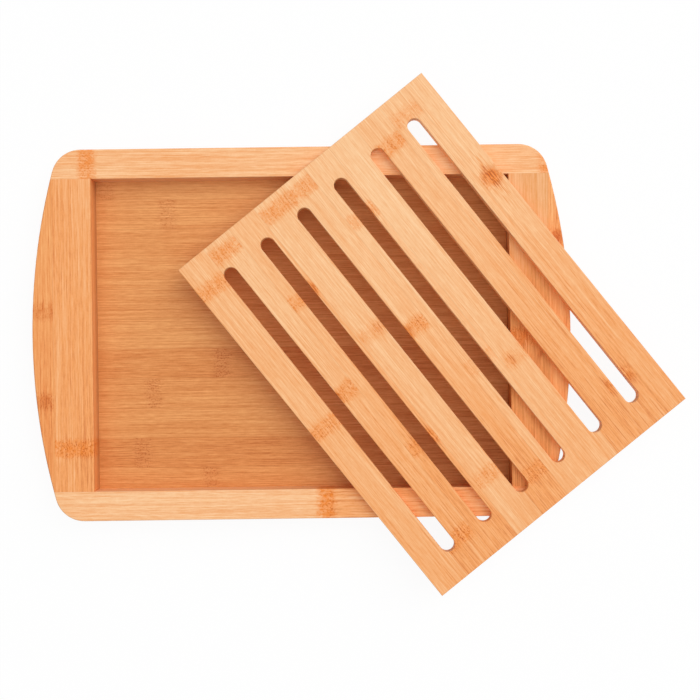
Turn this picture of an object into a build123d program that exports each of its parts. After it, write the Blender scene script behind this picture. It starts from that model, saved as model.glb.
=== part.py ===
from build123d import *
import math
import os

# A bamboo bread board: a crumb tray with bowed ends, and a slotted grid that lies askew on its rim.
# Millimetres, +Z up. The origin is under the middle of the tray, on the surface it stands on.
# +X runs along the tray and +Y across it, from the near long rail to the far one.

# Tray
tray_length = 400  # over the bowed ends, at the middle of the bow
tray_width = 276.3  # over the two long rails
rail_height = 20
long_rail_width = 21.95
end_rail_width = 44.8  # at the middle of the bow
end_strip_width = 29.1  # the straight strip of an end rail, the bowed strip is glued outside it
end_bow = 20.7  # how far the middle of an end stands out past its corners
corner_radius = 22
rail_arris = 1  # the eased edge round the outside of the tray
floor_thickness = 6
floor_seat = 5  # how far the floor reaches under the rails
floor_strip_count = 11
far_floor_strip_width = 18.5  # the panel is trimmed to width, so its outermost strips are narrower
near_floor_strip_width = 20.5

# Grid
grid_clearance = 1  # round the grid, when it lies in the well of the tray
grid_thickness = 6.5
grid_arris = 0.3  # the eased edge round the grid and round its slots
grid_strip_count = 10
far_grid_strip_width = 16.6
near_grid_strip_width = 24.1
slot_count = 6
slot_width = 11
far_bar_width = 23.5  # from the outermost slots to the long edges of the grid, at their middle
near_bar_width = 22
slot_end_margin = 21.7  # from the end of a slot to the end of the grid
slot_turn = -0.3  # degrees, the slots are not quite parallel to the long edges

# Where the middle of the grid lies, seen from the middle of the tray
grid_shift_along = 96.2
grid_shift_across = -2.7
grid_turn = -51.7  # degrees, from the length of the tray to the length of the grid

# What follows from the sizes above
well_length = tray_length - 2 * end_rail_width
well_width = tray_width - 2 * long_rail_width
floor_length = well_length + 2 * floor_seat
floor_width = well_width + 2 * floor_seat
grid_length = well_length - 2 * grid_clearance
grid_width = well_width - 2 * grid_clearance
slot_length = grid_length - 2 * slot_end_margin
slot_pitch = (grid_width - far_bar_width - near_bar_width - slot_width) / (slot_count - 1)
slots_middle = (near_bar_width - far_bar_width) / 2

os.makedirs("parts", exist_ok=True)


def seams_across(panel_width, strip_count, far_strip_width, near_strip_width):
    """The edges and seams of a panel glued up from strips, from its far edge to its near one."""
    inner_width = panel_width - far_strip_width - near_strip_width
    inner_count = strip_count - 2
    far_seam = panel_width / 2 - far_strip_width
    seams = [far_seam - inner_width * number / inner_count for number in range(inner_count + 1)]
    return [panel_width / 2, *seams, -panel_width / 2]


# The outline of the tray: straight long sides, ends bowed to an arc, and rounded corners.
with BuildSketch() as tray_outline:
    with BuildLine():
        corner_along = tray_length / 2 - end_bow
        far_side = Line((-corner_along, tray_width / 2), (corner_along, tray_width / 2))
        right_bow = ThreePointArc(far_side @ 1, (tray_length / 2, 0), (corner_along, -tray_width / 2))
        near_side = Line(right_bow @ 1, (-corner_along, -tray_width / 2))
        ThreePointArc(near_side @ 1, (-tray_length / 2, 0), far_side @ 0)
    make_face()
    fillet(tray_outline.vertices(), radius=corner_radius)

# The glued-up frame as it leaves the router. The well goes right through it, a rabbet under the
# rails takes the floor, and the outer edges are eased at the top and at the bottom.
with BuildPart() as frame_blank:
    with BuildSketch():
        add(tray_outline.sketch)
        Rectangle(well_length, well_width, mode=Mode.SUBTRACT)
    extrude(amount=rail_height)
    with BuildSketch():
        Rectangle(floor_length, floor_width)
    extrude(amount=floor_thickness, mode=Mode.SUBTRACT)
    top_outline = faces().sort_by(Axis.Z)[-1].outer_wire()
    bottom_outline = faces().sort_by(Axis.Z)[0].outer_wire()
    fillet(top_outline.edges() + bottom_outline.edges(), radius=rail_arris)

# The long rails run the whole length of the tray, past the ends of the end rails.
far_joint_plane = Plane.XZ.offset(-well_width / 2)
near_joint_plane = Plane.XZ.offset(well_width / 2)

with BuildPart() as far_rail:
    add(frame_blank.part)
    split(bisect_by=far_joint_plane, keep=Keep.BOTTOM)
far_rail.part.label = "long_rail_far"
export_step(far_rail.part, "parts/long_rail_far.step")

with BuildPart() as near_rail:
    add(far_rail.part)
    mirror(about=Plane.XZ, mode=Mode.REPLACE)
near_rail.part.label = "long_rail_near"
export_step(near_rail.part, "parts/long_rail_near.step")

# An end rail is butted between the long rails. It is glued up from a straight strip at the well
# and a bowed strip outside it, which tapers almost to nothing at the joints.
with BuildPart() as right_end_rail:
    add(frame_blank.part)
    split(bisect_by=far_joint_plane, keep=Keep.TOP)
    split(bisect_by=near_joint_plane, keep=Keep.BOTTOM)
    split(bisect_by=Plane.YZ, keep=Keep.TOP)

end_seam_plane = Plane.YZ.offset(well_length / 2 + end_strip_width)

with BuildPart() as right_inner_strip:
    add(right_end_rail.part)
    split(bisect_by=end_seam_plane, keep=Keep.BOTTOM)
right_inner_strip.part.label = "end_rail_right_inner_strip"
export_step(right_inner_strip.part, "parts/end_rail_right_inner_strip.step")

with BuildPart() as right_outer_strip:
    add(right_end_rail.part)
    split(bisect_by=end_seam_plane, keep=Keep.TOP)
right_outer_strip.part.label = "end_rail_right_outer_strip"
export_step(right_outer_strip.part, "parts/end_rail_right_outer_strip.step")

with BuildPart() as left_inner_strip:
    add(right_inner_strip.part)
    mirror(about=Plane.YZ, mode=Mode.REPLACE)
left_inner_strip.part.label = "end_rail_left_inner_strip"
export_step(left_inner_strip.part, "parts/end_rail_left_inner_strip.step")

with BuildPart() as left_outer_strip:
    add(right_outer_strip.part)
    mirror(about=Plane.YZ, mode=Mode.REPLACE)
left_outer_strip.part.label = "end_rail_left_outer_strip"
export_step(left_outer_strip.part, "parts/end_rail_left_outer_strip.step")

# The floor is a panel of edge-glued strips, flush with the underside of the rails.
floor_seams = seams_across(
    floor_width, floor_strip_count, far_floor_strip_width, near_floor_strip_width
)
for number, (far_seam, near_seam) in enumerate(zip(floor_seams, floor_seams[1:]), start=1):
    with BuildPart() as floor_strip:
        with BuildSketch():
            with Locations((0, (far_seam + near_seam) / 2)):
                Rectangle(floor_length, far_seam - near_seam)
        extrude(amount=floor_thickness)
    floor_strip.part.label = f"floor_strip_{number:02d}"
    export_step(floor_strip.part, f"parts/floor_strip_{number:02d}.step")

# The grid lies on the rim, turned and shifted to one side. Its slots are routed right through
# the glued-up panel, with round ends, and its edges and theirs are eased on both faces.
turn_angle = math.radians(grid_turn)
grid_plane = Plane(
    origin=(grid_shift_along, grid_shift_across, rail_height),
    x_dir=(math.cos(turn_angle), math.sin(turn_angle), 0),
    z_dir=(0, 0, 1),
)
with BuildPart() as grid_panel:
    with BuildSketch(grid_plane):
        Rectangle(grid_length, grid_width)
        with Locations((0, slots_middle)):
            with GridLocations(0, slot_pitch, 1, slot_count):
                SlotOverall(slot_length, slot_width, rotation=slot_turn, mode=Mode.SUBTRACT)
    extrude(amount=grid_thickness)
    chamfer(faces().filter_by(Axis.Z).edges(), length=grid_arris)

# The strips that the grid is glued up from. A slot cuts into one of them, or into two where it
# runs along a seam.
grid_seams = seams_across(grid_width, grid_strip_count, far_grid_strip_width, near_grid_strip_width)
for number, (far_seam, near_seam) in enumerate(zip(grid_seams, grid_seams[1:]), start=1):
    with BuildPart() as grid_strip:
        add(grid_panel.part)
        with BuildSketch(grid_plane):
            with Locations((0, (far_seam + near_seam) / 2)):
                Rectangle(grid_length, far_seam - near_seam)
        extrude(amount=grid_thickness, mode=Mode.INTERSECT)
    grid_strip.part.label = f"grid_strip_{number:02d}"
    export_step(grid_strip.part, f"parts/grid_strip_{number:02d}.step")
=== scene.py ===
import math

import bpy
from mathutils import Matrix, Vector


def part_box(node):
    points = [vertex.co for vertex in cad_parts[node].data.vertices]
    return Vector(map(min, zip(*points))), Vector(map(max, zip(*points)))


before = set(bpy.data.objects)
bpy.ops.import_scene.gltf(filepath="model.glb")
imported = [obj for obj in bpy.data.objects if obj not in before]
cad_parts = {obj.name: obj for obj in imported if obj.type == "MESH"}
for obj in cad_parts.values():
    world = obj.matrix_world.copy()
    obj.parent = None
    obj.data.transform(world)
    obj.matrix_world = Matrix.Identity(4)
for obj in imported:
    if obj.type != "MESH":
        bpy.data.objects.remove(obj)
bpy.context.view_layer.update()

# The floor of the tray: a thin panel of eleven bamboo strips, glued edge to edge with the grain
# along the tray and let into a rabbet under the rails. It is sanded and oiled, and darker than the
# rest, with long brown fibres that swirl at the knuckles of the cane. Its sizes are in millimetres.
millimetre = 0.001
along_tray = 0
knuckle_core = 3
knuckle_reach = 9
swirl_reach = 13
seam_core = 0.05
fibre_contrast = 0.36
fibre_shade = 0.025
vessel_depth = 0.35
scar_bloom = 0.4
scar_depth = 0.65
glue_strength = 0.15
relief_strength = 0.12
relief_height = 0.1 * millimetre
floor_tones = [(244, 182, 116), (232, 162, 98), (217, 136, 73), (190, 98, 42), (192, 112, 62)]
glue_brown = (158, 88, 46)
end_grain_tan = (226, 164, 106)
end_grain_dot = (142, 80, 42)
scar_brown = (184, 86, 40)


def colour(swatch):
    """A shader colour from the red, green and blue of a swatch, each from 0 to 255."""
    shares = [value / 255 for value in swatch]
    linear = [share / 12.92 if share < 0.04 else ((share + 0.055) / 1.055) ** 2.4 for share in shares]
    return (*linear, 1)


def add_node(tree, kind, inputs, **settings):
    """A new node with its settings. Each input is a value, or the output of another node."""
    new_node = tree.nodes.new(kind)
    for name, setting in settings.items():
        setattr(new_node, name, setting)
    for name, value in inputs.items():
        if isinstance(value, bpy.types.NodeSocket):
            tree.links.new(value, new_node.inputs[name])
        else:
            new_node.inputs[name].default_value = value
    return new_node


def calculate(tree, operation, *values):
    return add_node(tree, "ShaderNodeMath", dict(enumerate(values)), operation=operation).outputs[0]


def calculate_vector(tree, operation, *vectors):
    return add_node(tree, "ShaderNodeVectorMath", dict(enumerate(vectors)), operation=operation).outputs[0]


def add_up(tree, *parts):
    total = parts[0]
    for part in parts[1:]:
        total = calculate(tree, "ADD", total, part)
    return total


def about_zero(tree, noise, amount):
    """Noise that lies about a half, turned into one that goes as far below zero as above it."""
    return calculate(tree, "MULTIPLY_ADD", noise, amount, -amount / 2)


def rise(tree, value, low, high):
    """0 up to low and 1 from high on, with a smooth rise between them. It falls where high is less."""
    limits = {"Value": value, "From Min": low, "From Max": high}
    return add_node(tree, "ShaderNodeMapRange", limits, interpolation_type="SMOOTHSTEP").outputs[0]


def tint(tree, share, below, above):
    """One colour laid over another, by a share that may vary over the surface."""
    return add_node(tree, "ShaderNodeMix", {0: share, 6: below, 7: above}, data_type="RGBA").outputs[2]


def tone_colour(tree, tone, swatches):
    """The colour of a tone: bleached at -1, pale at 0, warm at 1 and stained at 2."""
    place = calculate(tree, "MULTIPLY_ADD", tone, 1 / 3, 1 / 3)
    ramp = add_node(tree, "ShaderNodeValToRGB", {0: place})
    ramp.color_ramp.elements.new(1 / 3)
    ramp.color_ramp.elements.new(2 / 3)
    for element, swatch in zip(ramp.color_ramp.elements, swatches[:4]):
        element.color = colour(swatch)
    return ramp.outputs[0]


def dim(tree, body, share):
    """A colour made darker by a share of itself, or lighter where the share is negative."""
    kept = calculate(tree, "SUBTRACT", 1, share)
    return add_node(tree, "ShaderNodeVectorMath", {0: body, 3: kept}, operation="SCALE").outputs[0]


def fibre_noise(tree, grain, seed, length, width, detail=2):
    """Noise drawn out along the grain, with marks about that long and wide in millimetres."""
    drawn_out = calculate_vector(tree, "MULTIPLY", grain, (1 / length, 1 / width, 1 / width))
    inputs = {"Vector": drawn_out, "W": seed, "Scale": 1, "Detail": detail, "Roughness": 0.55}
    return add_node(tree, "ShaderNodeTexNoise", inputs, noise_dimensions="4D").outputs[0]


def strip_in_plan(node, turn):
    """A strip's middle, and its length along the grain, width and height, from its box in metres."""
    low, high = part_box(node)
    spread = high - low
    along, across = abs(math.cos(turn)), abs(math.sin(turn))
    length = (spread.x * along - spread.y * across) / (along**2 - across**2)
    width = (spread.y * along - spread.x * across) / (along**2 - across**2)
    return (low + high) / 2, length, width, spread.z


def grain_of(tree, middle, turn):
    """Millimetres along the grain, across it and up, from the middle of the strip."""
    place = add_node(tree, "ShaderNodeTexCoord", {}).outputs["Object"]
    inputs = {
        "Vector": place,
        "Location": middle,
        "Rotation": (0, 0, turn),
        "Scale": (millimetre, millimetre, millimetre),
    }
    return add_node(tree, "ShaderNodeMapping", inputs, vector_type="TEXTURE").outputs[0]


def knuckle_bands(tree, along, knuckles, core, reach):
    """Bands across the strip, full within the core of each knuckle and gone at its reach."""
    bands = 0
    for place, strength in knuckles:
        off = calculate(tree, "ABSOLUTE", calculate(tree, "SUBTRACT", along, place))
        band = calculate(tree, "MULTIPLY", rise(tree, off, low=reach, high=core), strength)
        bands = calculate(tree, "MAXIMUM", bands, band)
    return bands


def glue_lines(tree, across, up, half_width, half_height, plies):
    """Where glue shows: along the seams between strips, and on the sides between the plies."""
    from_seam = calculate(tree, "SUBTRACT", half_width, calculate(tree, "ABSOLUTE", across))
    glue = rise(tree, from_seam, low=0.3, high=seam_core)
    if plies > 1:
        ply_height = 2 * half_height / plies
        ply = calculate(tree, "DIVIDE", calculate(tree, "ADD", up, half_height), ply_height)
        from_ply_seam = calculate(tree, "MULTIPLY", calculate(tree, "PINGPONG", ply, 0.5), ply_height)
        from_face = calculate(tree, "SUBTRACT", half_height, calculate(tree, "ABSOLUTE", up))
        inside = rise(tree, from_face, low=1, high=2)
        ply_glue = calculate(tree, "MULTIPLY", rise(tree, from_ply_seam, low=0.25, high=seam_core), inside)
        glue = calculate(tree, "MAXIMUM", glue, ply_glue)
    return glue


def fibre_ends(tree, straight, facing, turn, body):
    """The finish where a saw or router cut across the fibres: their ends are a crowd of dots."""
    grain_direction = (math.cos(turn), math.sin(turn), 0)
    towards_end = add_node(
        tree, "ShaderNodeVectorMath", {0: facing, 1: grain_direction}, operation="DOT_PRODUCT"
    ).outputs["Value"]
    cut_across = rise(tree, calculate(tree, "ABSOLUTE", towards_end), low=0.45, high=0.8)
    cells = calculate_vector(tree, "MULTIPLY", straight, (0.02, 1.15, 1.15))
    from_dot = add_node(tree, "ShaderNodeTexVoronoi", {"Vector": cells, "Scale": 1}).outputs["Distance"]
    dots = calculate(tree, "MULTIPLY", rise(tree, from_dot, low=0.42, high=0.22), 0.6)
    ends = tint(tree, dots, colour(end_grain_tan), colour(end_grain_dot))
    ends = tint(tree, 0.3, ends, body)
    return tint(tree, cut_across, body, ends)


def scar_patches(tree, along, across, scars, stretch):
    """Oval patches where a bud sat on the cane, soft at their rims and drawn out along the grain."""
    patches = 0
    for place_along, place_across, reach, strength in scars:
        off_along = calculate(tree, "SUBTRACT", along, place_along)
        off_along = calculate(tree, "DIVIDE", off_along, stretch)
        off_across = calculate(tree, "SUBTRACT", across, place_across)
        squared = calculate(
            tree, "MULTIPLY_ADD", off_along, off_along, calculate(tree, "MULTIPLY", off_across, off_across)
        )
        distance = calculate(tree, "SQRT", squared)
        patch = calculate(tree, "MULTIPLY", rise(tree, distance, low=reach, high=0.2 * reach), strength)
        patches = calculate(tree, "MAXIMUM", patches, patch)
    return patches


def bamboo(
    node,
    turn,
    tones,
    warmth,
    knuckles,
    seed,
    figure=1.2,
    swirl=1.0,
    bloom=1.0,
    scars=(),
    plies=1,
    drift_over=None,
    painted_foot_shade=0.0,
):
    """The finish of one strip of bamboo, given to its node.

    turn is that of its grain from the length of the tray. tones are its bleached, pale, warm and
    stained colours and that of a knuckle. warmth has one value for each end of the strip: 0 is
    pale, 1 is warm, and 2 would be stained. knuckles has the place of each along the strip from
    its middle, and its strength. figure is how strong the fibres are, swirl how far they bend
    round a knuckle, and bloom how much of its colour the knuckle has. scars has the place along
    and across, the reach and the strength of each bud scar. plies is how many layers the strip is
    laminated from. Where its warmth changes over a part of the strip, drift_over has the places
    between which it does. painted_foot_shade is how much painted shade darkens its wall of the well
    towards the foot, where the wall meets the floor.
    """
    material = bpy.data.materials.new("bamboo_" + node)
    material.use_nodes = True
    tree = material.node_tree
    shader = tree.nodes["Principled BSDF"]
    middle, length, width, height = strip_in_plan(node, turn)
    half_length = length / millimetre / 2
    half_width = width / millimetre / 2
    half_height = height / millimetre / 2

    straight = grain_of(tree, middle, turn)
    parts = add_node(tree, "ShaderNodeSeparateXYZ", {0: straight})
    along, across, up = parts.outputs[0], parts.outputs[1], parts.outputs[2]

    # Fibres run almost straight, and bend round the knuckles.
    near_knuckle = knuckle_bands(tree, along, knuckles, knuckle_core, swirl_reach)
    wander = about_zero(tree, fibre_noise(tree, straight, seed + 11.3, length=80, width=30, detail=0), 1.0)
    bulge = fibre_noise(tree, straight, seed + 5.7, length=5.5, width=3, detail=1)
    bulge = about_zero(tree, bulge, 2.5 * swirl)
    aside = calculate(tree, "MULTIPLY_ADD", bulge, near_knuckle, wander)
    grain = calculate_vector(
        tree, "ADD", straight, add_node(tree, "ShaderNodeCombineXYZ", {1: aside}).outputs[0]
    )

    # The cane's own tone: paler or warmer along the strip and in long soft clouds.
    drift_start, drift_end = drift_over or (-half_length, half_length)
    drift = rise(tree, along, low=drift_start, high=drift_end)
    drift = calculate(tree, "MULTIPLY_ADD", drift, warmth[1] - warmth[0], warmth[0])
    clouds = about_zero(tree, fibre_noise(tree, grain, seed + 1.1, length=90, width=6), 0.8)

    # Its fibres: streaks, fine lines that run on, shorter ones, dark vessels like dashes, and pores.
    streaks = fibre_noise(tree, grain, seed + 2.3, length=60, width=1.7, detail=0)
    lines = fibre_noise(tree, grain, seed + 3.9, length=55, width=0.6, detail=0)
    short_lines = fibre_noise(tree, grain, seed + 9.4, length=7, width=0.6, detail=0)
    pores = fibre_noise(tree, grain, seed + 10.8, length=1.6, width=0.9, detail=1)
    vessels = fibre_noise(tree, grain, seed + 4.5, length=8, width=0.5, detail=1)
    dashes = rise(tree, vessels, low=0.62, high=0.74)
    fibres = add_up(
        tree,
        about_zero(tree, streaks, 0.45),
        about_zero(tree, lines, 3.5),
        about_zero(tree, short_lines, 2.4),
        about_zero(tree, pores, 1.1),
        calculate(tree, "MULTIPLY", dashes, vessel_depth),
    )
    crowding = calculate(tree, "MULTIPLY_ADD", near_knuckle, 0.3 * figure, figure)
    fibres = calculate(tree, "MULTIPLY", fibres, crowding)

    # A knuckle is a ragged band across the strip, orange and mottled, with small flecks in it. A
    # bud scar is browner, and the fibres run out of it in streaks.
    ragged = about_zero(tree, fibre_noise(tree, straight, seed + 6.1, length=3, width=1.5, detail=2), 7)
    ragged_along = calculate(tree, "ADD", along, ragged)
    band = knuckle_bands(tree, ragged_along, knuckles, knuckle_core, knuckle_reach)
    mottle = about_zero(tree, fibre_noise(tree, straight, seed + 7.7, length=2.6, width=2.2, detail=1), 1.2)
    flecks = fibre_noise(tree, straight, seed + 8.9, length=1.3, width=1.0, detail=0)
    flecks = rise(tree, flecks, low=0.52, high=0.68)
    scar = scar_patches(tree, ragged_along, across, scars, stretch=1.3)
    trail = scar_patches(tree, along, across, scars, stretch=3.5)
    stains = add_up(
        tree,
        calculate(tree, "MULTIPLY", band, calculate(tree, "MULTIPLY", flecks, 0.85)),
        calculate(tree, "MULTIPLY", trail, calculate(tree, "MULTIPLY_ADD", short_lines, 2, -0.75)),
    )
    blotches = calculate(tree, "MULTIPLY", calculate(tree, "ADD", mottle, 0.45), bloom)
    knuckle_share = calculate(tree, "MULTIPLY", blotches, band)
    knuckle_share = calculate(tree, "MULTIPLY_ADD", scar, scar_bloom, knuckle_share)
    ragged_core = calculate(tree, "ADD", mottle, about_zero(tree, short_lines, 1.6))
    scar_share = calculate(tree, "MULTIPLY", scar, rise(tree, ragged_core, low=-0.15, high=0.3))
    scar_share = calculate(tree, "MULTIPLY", scar_share, scar_depth)

    facing = add_node(tree, "ShaderNodeTexCoord", {}).outputs["Normal"]
    facing_up = add_node(tree, "ShaderNodeSeparateXYZ", {0: facing}).outputs[2]
    tone = add_up(tree, drift, clouds, calculate(tree, "MULTIPLY", fibres, fibre_contrast), stains)
    body = tone_colour(tree, tone, tones)
    body = tint(tree, knuckle_share, body, colour(tones[4]))
    body = tint(tree, scar_share, body, colour(scar_brown))
    body = dim(tree, body, calculate(tree, "MULTIPLY", fibres, fibre_shade))
    # Painted shade: upright faces are darkened by painted_foot_shade towards the foot of the wall, where
    # the wall of the well meets the floor.
    upright = rise(tree, calculate(tree, "ABSOLUTE", facing_up), low=0.5, high=0.2)
    foot = calculate(tree, "MULTIPLY", rise(tree, up, low=6, high=-3), painted_foot_shade)
    body = dim(tree, body, calculate(tree, "MULTIPLY", upright, foot))

    glue = glue_lines(tree, across, up, half_width, half_height, plies)
    body = tint(tree, calculate(tree, "MULTIPLY", glue, glue_strength), body, colour(glue_brown))
    body = fibre_ends(tree, straight, facing, turn, body)

    # Sanding leaves the dense fibres a hair proud, and the vessels and the glue a hair low.
    proud = calculate(tree, "MULTIPLY_ADD", lines, 0.6, calculate(tree, "MULTIPLY", streaks, 0.4))
    sunk = add_up(tree, calculate(tree, "MULTIPLY", dashes, 0.35), calculate(tree, "MULTIPLY", glue, 0.5))
    height_off = calculate(tree, "SUBTRACT", proud, sunk)
    relief = add_node(
        tree,
        "ShaderNodeBump",
        {"Height": height_off, "Strength": relief_strength, "Distance": relief_height},
    ).outputs[0]
    tree.links.new(body, shader.inputs["Base Color"])
    tree.links.new(calculate(tree, "MULTIPLY_ADD", lines, 0.25, 0.4), shader.inputs["Roughness"])
    tree.links.new(relief, shader.inputs["Normal"])
    shader.inputs["IOR"].default_value = 1.45
    shader.inputs["Specular IOR Level"].default_value = 0.3

    for material_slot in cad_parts[node].material_slots:
        material_slot.material = material


# Each floor strip, from the far one to the near one: its warmth at both ends and its knuckles.
floor_strips = [
    ((0.25, 0.35), [(-148, 0.7)]),
    ((0.45, 0.5), [(-101, 0.9)]),
    ((0.55, 0.6), []),
    ((0.45, 0.5), []),
    ((0.55, 0.6), []),
    ((0.45, 0.5), []),
    ((0.9, 0.95), [(-61, 1.0)]),
    ((0.6, 0.65), [(-114, 0.9)]),
    ((0.6, 0.8), []),
    ((1.0, 1.0), [(-122, 0.9)]),
    ((0.66, 0.75), [(-71, 0.8)]),
]
for number, (warmth, knuckles) in enumerate(floor_strips, start=1):
    bamboo(
        f"floor_strip_{number:02d}",
        along_tray,
        floor_tones,
        warmth,
        knuckles,
        seed=number * 17.3,
        figure=1.3,
        bloom=0.35,
    )

# The two long rails: straight strips that run the whole length of the tray, with the grain
# along it. They are laminated from three plies, and their outer corners are rounded.
rail_tones = [(252, 218, 174), (250, 196, 145), (244, 162, 95), (200, 98, 44), (238, 128, 26)]
rail_plies = 3

bamboo(
    "long_rail_far",
    along_tray,
    rail_tones,
    warmth=(0.38, 0.35),
    knuckles=[(-158, 1.1), (184, 0.9)],
    seed=3.1,
    plies=rail_plies,
)
bamboo(
    "long_rail_near",
    along_tray,
    rail_tones,
    warmth=(0.22, 0.85),
    knuckles=[(17, 1.2)],
    seed=8.6,
    plies=rail_plies,
    drift_over=(5, 30),
)

# The inner strips of the end rails: butted between the long rails, with the grain across the
# tray. They are laminated as the long rails are, and a little warmer. Their walls of the well
# get painted shade towards the foot.
across_tray = math.pi / 2
right_tones = [(246, 212, 170), (243, 189, 140), (234, 158, 90), (192, 104, 42), (230, 124, 30)]

bamboo(
    "end_rail_left_inner_strip",
    across_tray,
    rail_tones,
    warmth=(1.0, 0.85),
    knuckles=[(-84, 1.0)],
    seed=21.4,
    figure=0.9,
    plies=rail_plies,
    painted_foot_shade=0.35,
)
# Painted shade: this strip is warmer and darker from its middle to its near end, where the grid lies over
# it and shades it.
bamboo(
    "end_rail_right_inner_strip",
    across_tray,
    right_tones,
    warmth=(1.2, 0.65),
    knuckles=[(-5, 0.8)],
    seed=27.9,
    figure=0.8,
    scars=[(-4, 4, 5, 0.7), (-17, -7, 4, 0.7)],
    plies=rail_plies,
    drift_over=(10, 85),
    painted_foot_shade=0.35,
)

# The outer strips of the end rails: glued along the inner ones and sawn to a bow outside, so
# that they taper almost to nothing at the corners. They are the warmest pieces of the tray.
outer_tones = [(250, 200, 142), (245, 175, 110), (237, 147, 80), (188, 84, 38), (208, 104, 30)]

bamboo(
    "end_rail_left_outer_strip",
    across_tray,
    outer_tones,
    warmth=(0.8, 0.5),
    knuckles=[(-49, 0.7), (18, 0.7)],
    seed=33.2,
    scars=[(-49, -2, 6, 0.5)],
    plies=rail_plies,
)
bamboo(
    "end_rail_right_outer_strip",
    across_tray,
    outer_tones,
    warmth=(0.5, 0.5),
    knuckles=[(68, 1.0)],
    seed=39.8,
    scars=[(68, 2, 6, 0.7)],
    plies=rail_plies,
)

# The grid: ten strips glued edge to edge and routed through with six slots. It lies loose and
# askew on the rim, pale and peachy at its upper left end and orange towards the other.
grid_tones = [(252, 218, 174), (249, 196, 144), (243, 162, 95), (196, 92, 42), (238, 130, 30)]
second_middle = strip_in_plan("grid_strip_02", along_tray)[0]
ninth_middle = strip_in_plan("grid_strip_09", along_tray)[0]
across_grid = second_middle - ninth_middle
grid_turn = math.atan2(across_grid.y, across_grid.x) - math.pi / 2

# Each grid strip, from the far edge to the near one: its warmth at both ends, its knuckles and
# its bud scars.
grid_strips = [
    ((0.12, 0.95), [(-62, 0.8)], [(-62, 0, 9, 1.3)]),
    ((0.2, 0.95), [(-137, 0.6), (113, 0.5)], [(114, 7, 4, 0.9), (112, -10, 4, 0.8)]),
    ((0.2, 1.0), [(-127, 1.0)], []),
    ((0.0, 0.55), [(51, 0.4)], [(51, -6, 4, 0.7)]),
    ((0.15, 0.6), [(-100, 0.7), (38, 0.4)], [(-100, 6, 5, 0.6)]),
    ((0.1, 0.9), [(-143, 1.0), (-12, 1.0), (126, 0.7)], [(-12, -6, 7, 0.9)]),
    ((0.15, 0.54), [(-143, 1.0), (-29, 0.5), (106, 0.7)], [(-29, 4, 5, 0.5)]),
    ((0.4, 1.0), [(-81, 0.9), (57, 0.8)], [(-81, 6, 8, 1.0), (57, 6, 7, 0.9)]),
    ((0.2, 0.9), [(-143, 1.0), (-7, 0.9), (128, 0.9)], [(-7, -4, 6, 0.5)]),
    ((0.45, 0.7), [(-128, 0.9), (4, 0.9)], []),
]
for number, (warmth, knuckles, scars) in enumerate(grid_strips, start=1):
    bamboo(
        f"grid_strip_{number:02d}",
        grid_turn,
        grid_tones,
        warmth,
        knuckles,
        seed=50 + number * 13.7,
        figure=0.9,
        swirl=0.7,
        bloom=0.85,
        scars=scars,
    )

# The table under the board is plain and white, and 6 m across. To the camera it is as bright as
# the backdrop, and a soft shadow of the board stays on it.
table_size = 6
table_drop = 0.1 * millimetre
table_white = 0.97
shadow_kept = 0.08

bpy.ops.mesh.primitive_plane_add(size=table_size, location=(0, 0, -table_drop))
table = bpy.context.object
table.name = "table"
white = bpy.data.materials.new("plain_white")
white.use_nodes = True
tree = white.node_tree
table_shader = tree.nodes["Principled BSDF"]
table_shader.inputs["Base Color"].default_value = (table_white, table_white, table_white, 1)
table_shader.inputs["Roughness"].default_value = 1
table_shader.inputs["Specular IOR Level"].default_value = 0


def seen_directly(tree):
    """1 for what the camera sees, also in a reflection or through glass, and 0 for the rest."""
    rays = add_node(tree, "ShaderNodeLightPath", {})
    seen = calculate(tree, "MAXIMUM", rays.outputs["Is Camera Ray"], rays.outputs["Is Glossy Ray"])
    return calculate(tree, "MAXIMUM", seen, rays.outputs["Is Transmission Ray"])


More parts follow.
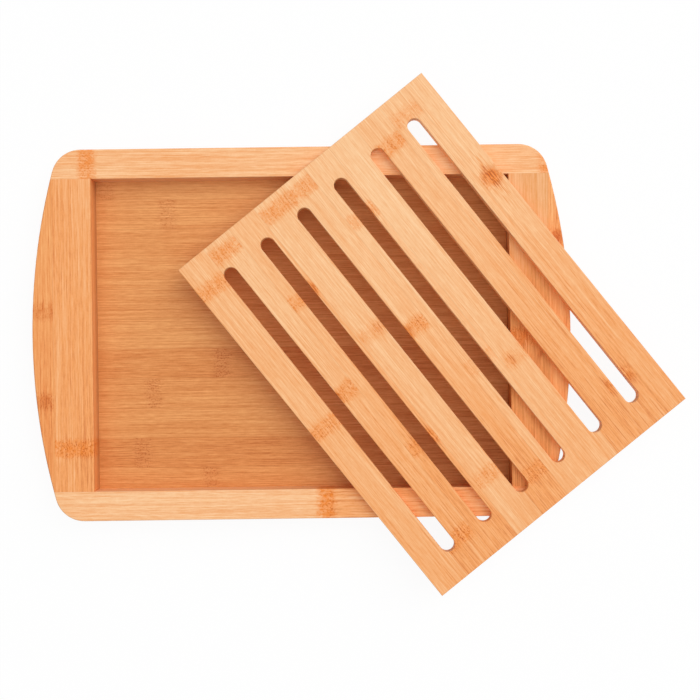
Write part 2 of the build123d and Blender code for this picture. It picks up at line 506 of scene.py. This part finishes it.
bright = add_node(tree, "ShaderNodeEmission", {"Color": (1, 1, 1, 1), "Strength": 1})
lit_share = calculate(tree, "MULTIPLY", seen_directly(tree), 1 - shadow_kept)
table_mix = add_node(
    tree, "ShaderNodeMixShader", {0: lit_share, 1: table_shader.outputs[0], 2: bright.outputs[0]}
)
tree.links.new(table_mix.outputs[0], tree.nodes["Material Output"].inputs["Surface"])
table.data.materials.append(white)

# One soft box hangs over the board. Two more stand farther off to its upper right, the second of
# them low. The white room adds some light all round. For each box: its name, the way to it from
# the board, its distance and width in metres, and the share of full white that it gives.
room_light = 0.395
soft_boxes = [
    ("soft_box_above", Vector((0, 0, 1)), 3, 6.0, 0.275),
    ("soft_box_beside", Vector((0.62, 0.5, 1)), 9, 8.4, 0.22),
    ("soft_box_low", Vector((1.45, 1.2, 1)), 9, 6.6, 0.09),
]

world = bpy.data.worlds.new("white_room")
bpy.context.scene.world = world
world.use_nodes = True
tree = world.node_tree
strength = add_node(
    tree, "ShaderNodeMapRange", {"Value": seen_directly(tree), "To Min": room_light, "To Max": 1}
)
background = tree.nodes["Background"]
background.inputs["Color"].default_value = (1, 1, 1, 1)
tree.links.new(strength.outputs[0], background.inputs["Strength"])

for name, towards, distance, width, share in soft_boxes:
    towards = towards.normalized()
    bpy.ops.object.light_add(
        type="AREA",
        location=towards * distance,
        rotation=towards.to_track_quat("Z", "Y").to_euler(),
    )
    soft_box = bpy.context.object
    soft_box.name = name
    soft_box.data.shape = "DISK"
    soft_box.data.size = width
    # The power at which the box gives a level surface that share of full white.
    radius = width / 2
    sky_filled = radius**2 / (radius**2 + distance**2)
    soft_box.data.energy = share * math.pi**2 * radius**2 / (sky_filled * towards.z)

# The camera looks straight down on the board, which lies turned a little in the picture. Its
# lens shows the picture's width, in metres, at the height of the rim of the tray.
camera_place = (0.0359, -0.0134, 0.660)
camera_turn = math.radians(-0.74)
picture_width = 0.5197
picture_distance = 0.640

bpy.ops.object.camera_add(location=camera_place, rotation=(0, 0, camera_turn))
camera = bpy.context.object
camera.name = "camera"
camera.data.sensor_width = 36
camera.data.lens = camera.data.sensor_width * picture_distance / picture_width
camera.data.clip_start = 0.01
bpy.context.scene.camera = camera
bpy.context.scene.view_settings.view_transform = "Standard"
